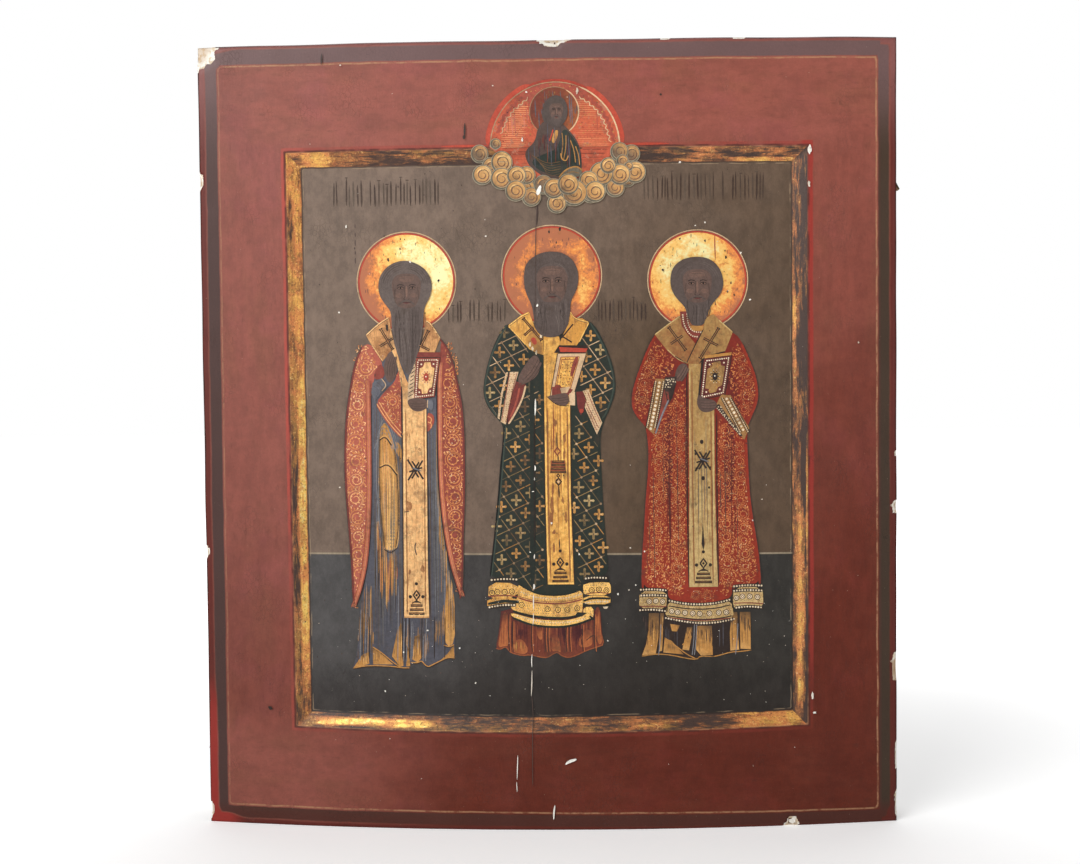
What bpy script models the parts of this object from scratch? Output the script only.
"""An old painted wooden icon panel: two upright boards and two dovetailed battens in the back.

Metres, +Z up. The panel stands on its underside and its painted front faces -Y. The origin is
on the underside, at the middle of the whole object's box.

Everything is shaped flat first: x runs across, y from the front face (0) into the wood, z up.
Then bend() gives it the warp of old boards, convex at the front and stronger at the bottom.
"""

import math
import random

import bmesh
import bpy
from mathutils import Matrix, Vector

# Panel
WIDTH = 0.316
HEIGHT = 0.355
THICKNESS = 0.028
BOW_TOP = 0.005  # how far the side edges lie behind the middle of the front, at the top
BOW_BOTTOM = 0.016  # the same at the bottom
SEAM_X = -0.006  # where the two boards meet
GAP = 0.0003  # between pieces that touch
EDGE_WEAR = 0.0012  # rounding of the outer edges
BEND_ACROSS = 21  # strips that make the curve; an odd number leaves one flat in the middle
BEND_UP = 9

# Recessed field and the gilded bevel round it
RECESS_LEFT, RECESS_RIGHT = -0.118, 0.1176
RECESS_BOTTOM, RECESS_TOP = 0.0448, 0.3066
RECESS_DEPTH = 0.0028
BEVEL_WIDTH = 0.0072
HORIZON = 0.124  # where the painted ground meets the painted sky

# Battens: dovetailed, tapered along x, and standing a little proud of the back
BATTEN_INSET = 0.009
BATTEN_PROUD = 0.005
BATTEN_WIDE = 0.041
BATTEN_NARROW = 0.033
DOVETAIL = 0.28  # how much each side leans out for each unit of depth
UPPER_BATTEN_Z = 0.3072
LOWER_BATTEN_Z = HEIGHT - UPPER_BATTEN_Z
BATTEN_REACH = 0.1645  # from the panel's middle to the lower corner of the slanted narrow end
BATTEN_SLANT = 0.019  # how far that end's upper corner stays behind the lower one
BATTEN_EDGE = 0.0012

# Chips in the gesso along the edges: place on the front (x, z) and half sizes (x, depth, z)
CHIPS_LEFT = (
    ((-0.158, 0.355), (0.0085, 0.0017, 0.0100)),
    ((-0.158, 0.2945), (0.0014, 0.0020, 0.0034)),
    ((-0.158, 0.1250), (0.0011, 0.0020, 0.0032)),
    ((-0.158, 0.0058), (0.0014, 0.0025, 0.0040)),
)
CHIPS_RIGHT = (
    ((0.0038, 0.355), (0.0065, 0.0022, 0.0022)),
    ((0.158, 0.1682), (0.0011, 0.0020, 0.0019)),
    ((0.158, 0.1443), (0.0031, 0.0034, 0.0027)),
    ((0.158, 0.0710), (0.0027, 0.0030, 0.0064)),
    ((0.158, 0.0306), (0.0015, 0.0026, 0.0072)),
    ((0.158, 0.0092), (0.0023, 0.0030, 0.0080)),
    ((0.109, 0.0000), (0.0027, 0.0020, 0.0042)),
)
CHIP_ROUGHNESS = 0.14
SEED = 7

# Colour, roughness, metallic
FINISHES = {
    "bare_wood": ((0.16, 0.085, 0.042, 1), 0.72, 0.0),
    "batten_wood": ((0.20, 0.115, 0.060, 1), 0.70, 0.0),
    "margin_paint": ((0.205, 0.050, 0.030, 1), 0.42, 0.0),
    "bevel_gold": ((0.60, 0.34, 0.075, 1), 0.34, 0.9),
    "sky_paint": ((0.095, 0.073, 0.047, 1), 0.45, 0.0),
    "ground_paint": ((0.030, 0.032, 0.029, 1), 0.45, 0.0),
    "gesso": ((0.74, 0.70, 0.62, 1), 0.85, 0.0),
}


def clear_scene():
    for old in list(bpy.data.objects):
        bpy.data.objects.remove(old, do_unlink=True)


def new_collection(name):
    collection = bpy.data.collections.new(name)
    bpy.context.scene.collection.children.link(collection)
    return collection


def new_material(name):
    colour, roughness, metallic = FINISHES[name]
    material = bpy.data.materials.new(name)
    material.use_nodes = True
    material.diffuse_color = colour
    shader = material.node_tree.nodes["Principled BSDF"]
    shader.inputs["Base Color"].default_value = colour
    shader.inputs["Roughness"].default_value = roughness
    shader.inputs["Metallic"].default_value = metallic
    return material


def to_collection(obj, collection):
    for other in list(obj.users_collection):
        other.objects.unlink(obj)
    collection.objects.link(obj)


def box(name, low, high, collection):
    """A cube primitive between two corners, with its scale applied to its mesh."""
    middle = (Vector(low) + Vector(high)) / 2
    size = Vector(high) - Vector(low)
    bpy.ops.mesh.primitive_cube_add(size=1)
    obj = bpy.context.object
    obj.name = name
    obj.data.name = name
    obj.data.transform(Matrix.Translation(middle) @ Matrix.Diagonal((*size, 1)))
    to_collection(obj, collection)
    return obj


def as_cutter(obj):
    obj.hide_render = True
    obj.display_type = "WIRE"
    return obj


def edit_mesh(obj, change):
    """Runs change(bm) on the object's mesh."""
    bm = bmesh.new()
    bm.from_mesh(obj.data)
    change(bm)
    bm.to_mesh(obj.data)
    bm.free()


def round_edges(obj, chosen, width):
    def change(bm):
        edges = [edge for edge in bm.edges if chosen(edge)]
        bmesh.ops.bevel(
            bm, geom=edges, offset=width, segments=2, profile=0.5, affect="EDGES"
        )

    edit_mesh(obj, change)


def cut(target, cutters):
    """Takes the cutters out of the target, and gives the cut faces the cutters' material."""
    for cutter in cutters:
        modifier = target.modifiers.new("cut", "BOOLEAN")
        modifier.operation = "DIFFERENCE"
        modifier.solver = "EXACT"
        modifier.material_mode = "TRANSFER"
        modifier.object = cutter
    evaluated = target.evaluated_get(bpy.context.evaluated_depsgraph_get())
    mesh = bpy.data.meshes.new_from_object(evaluated)
    target.modifiers.clear()
    mesh.name = target.name
    target.data = mesh


def bend(point):
    """Where a point of the flat panel lies once the boards have warped."""
    bow = BOW_BOTTOM + (BOW_TOP - BOW_BOTTOM) * point.z / HEIGHT
    across = 2 * point.x / WIDTH
    front = Vector((point.x, bow * across**2, point.z))
    inward = Vector((-4 * bow * across / WIDTH, 1, 0)).normalized()
    return front + inward * point.y


def unbent_x(reach, y, z):
    """The flat x that bend() moves to reach, at this depth and height."""
    x = reach
    for _ in range(6):
        x += reach - bend(Vector((x, y, z))).x
    return x


def recess_cutter(collection):
    """The hollow of the field: a block whose sides slope as the bevel does."""
    obj = box(
        "recess_cutter",
        (RECESS_LEFT, -RECESS_DEPTH, RECESS_BOTTOM),
        (RECESS_RIGHT, RECESS_DEPTH, RECESS_TOP),
        collection,
    )
    centre = Vector((RECESS_LEFT + RECESS_RIGHT, 0, RECESS_BOTTOM + RECESS_TOP)) / 2
    for vertex in obj.data.vertices:
        step = BEVEL_WIDTH if vertex.co.y < 0 else -BEVEL_WIDTH
        vertex.co.x += math.copysign(step, (vertex.co.x - centre.x) * step)
        vertex.co.z += math.copysign(step, (vertex.co.z - centre.z) * step)
    return as_cutter(obj)


def chip_cutter(name, place, half_size, material, collection):
    """A rough lump that bites the gesso."""
    bpy.ops.mesh.primitive_ico_sphere_add(subdivisions=1, radius=1)
    obj = bpy.context.object
    obj.name = name
    rough = random.Random(f"{SEED}-{name}")
    for vertex in obj.data.vertices:
        vertex.co *= 1 + rough.uniform(-CHIP_ROUGHNESS, CHIP_ROUGHNESS)
        vertex.co = Vector(a * b for a, b in zip(vertex.co, half_size))
        vertex.co += Vector((place[0], 0, place[1]))
    obj.data.materials.append(material)
    to_collection(obj, collection)
    return as_cutter(obj)


def batten_block(name, middle_z, side, grow, overrun, collection):
    """The batten's dovetail wedge. side is +1 where its narrow end points to +X.

    grow widens it on every face, and overrun lengthens it: both are for its groove.
    """
    inner = THICKNESS - BATTEN_INSET
    outer = THICKNESS + BATTEN_PROUD
    tip = unbent_x(BATTEN_REACH, inner, middle_z)
    narrow_end = side * (tip + overrun)
    wide_end = -side * (WIDTH / 2 + overrun)
    obj = box(
        name,
        (min(narrow_end, wide_end), inner - grow, -1),
        (max(narrow_end, wide_end), outer + grow, 1),
        collection,
    )
    taper = (BATTEN_NARROW - BATTEN_WIDE) / (tip + WIDTH / 2)
    for vertex in obj.data.vertices:
        along = side * vertex.co.x + WIDTH / 2
        half = (BATTEN_WIDE + taper * along) / 2
        half += DOVETAIL * (THICKNESS - vertex.co.y) + grow
        vertex.co.z = middle_z + math.copysign(half, vertex.co.z)
    return obj


def batten(name, middle_z, side, material, collection):
    obj = batten_block(name, middle_z, side, 0, 0, collection)
    for vertex in obj.data.vertices:
        if side * vertex.co.x > WIDTH / 2 and vertex.co.z > middle_z:
            vertex.co.x -= side * BATTEN_SLANT
    round_edges(obj, lambda edge: True, BATTEN_EDGE)
    obj.data.materials.append(material)
    return obj


def groove_cutter(name, middle_z, side, material, collection):
    obj = batten_block(name, middle_z, side, GAP, 0.01, collection)
    obj.data.materials.append(material)
    return as_cutter(obj)


def board(name, left, right, materials, collection):
    """A plain board whose outer edges are worn, and whose seam edge stays sharp."""
    obj = box(name, (left, 0, 0), (right, THICKNESS, HEIGHT), collection)
    for material in materials:
        obj.data.materials.append(material)
    seam = right if abs(right - SEAM_X) < GAP else left

    def outer(edge):
        return any(abs(vertex.co.x - seam) > GAP for vertex in edge.verts)

    round_edges(obj, outer, EDGE_WEAR)
    return obj


def paint_faces(obj, names):
    """Gives each front face the finish of the zone it lies in. Cut chips keep their gesso."""
    slots = {name: obj.data.materials.find(name) for name in names}
    for face in obj.data.polygons:
        x, y, z = face.center
        inside = RECESS_LEFT < x < RECESS_RIGHT and RECESS_BOTTOM < z < RECESS_TOP
        if face.material_index == slots["gesso"] or face.normal.y > -0.5:
            continue
        if not inside:
            face.material_index = slots["margin_paint"]
        elif y < RECESS_DEPTH * 0.98:
            face.material_index = slots["bevel_gold"]
        elif z > HORIZON:
            face.material_index = slots["sky_paint"]
        else:
            face.material_index = slots["ground_paint"]


def slice_for_bend(obj):
    """Splits the faces along regular lines, so that they can follow the curve."""

    def change(bm):
        def slice_at(point, normal):
            geometry = [*bm.verts, *bm.edges, *bm.faces]
            bmesh.ops.bisect_plane(
                bm, geom=geometry, dist=1e-6, plane_co=point, plane_no=normal
            )

        for step in range(1, BEND_ACROSS):
            x = WIDTH * (step / BEND_ACROSS - 0.5)
            slice_at((x, 0, 0), (1, 0, 0))
        for step in range(1, BEND_UP):
            slice_at((0, 0, HEIGHT * step / BEND_UP), (0, 0, 1))
        slice_at((0, 0, HORIZON), (0, 0, 1))

    edit_mesh(obj, change)


def triangulate(obj):
    edit_mesh(obj, lambda bm: bmesh.ops.triangulate(bm, faces=bm.faces[:]))


def bend_object(obj):
    for vertex in obj.data.vertices:
        vertex.co = bend(vertex.co)
    obj.data.update()


def centre_on_origin(objects):
    """Moves the meshes so that the middle of the whole box's underside is the origin."""
    places = [vertex.co for obj in objects for vertex in obj.data.vertices]
    low = [min(place[axis] for place in places) for axis in range(3)]
    high = [max(place[axis] for place in places) for axis in range(3)]
    shift = Vector((-(low[0] + high[0]) / 2, -(low[1] + high[1]) / 2, -low[2]))
    for obj in objects:
        obj.data.transform(Matrix.Translation(shift))


def build():
    clear_scene()
    panel = new_collection("icon_panel")
    cutters = new_collection("cutters")
    finish = {name: new_material(name) for name in FINISHES}
    board_finishes = [finish[name] for name in FINISHES if name != "batten_wood"]
    battens_at = (
        ("upper_batten", UPPER_BATTEN_Z, 1),
        ("lower_batten", LOWER_BATTEN_Z, -1),
    )

    recess = recess_cutter(cutters)
    grooves = [
        groove_cutter(f"{name}_groove", z, side, finish["bare_wood"], cutters)
        for name, z, side in battens_at
    ]
    boards = []
    for name, left, right, chips in (
        ("left_board", -WIDTH / 2, SEAM_X - GAP / 2, CHIPS_LEFT),
        ("right_board", SEAM_X + GAP / 2, WIDTH / 2, CHIPS_RIGHT),
    ):
        obj = board(name, left, right, board_finishes, panel)
        bites = [
            chip_cutter(f"{name}_chip_{n}", place, size, finish["gesso"], cutters)
            for n, (place, size) in enumerate(chips)
        ]
        cut(obj, [recess, *grooves, *bites])
        slice_for_bend(obj)
        paint_faces(obj, FINISHES)
        boards.append(obj)
    battens = [
        batten(name, z, side, finish["batten_wood"], panel)
        for name, z, side in battens_at
    ]
    for obj in battens:
        slice_for_bend(obj)
    for obj in boards + battens:
        triangulate(obj)
        bend_object(obj)
    centre_on_origin(boards + battens)


build()
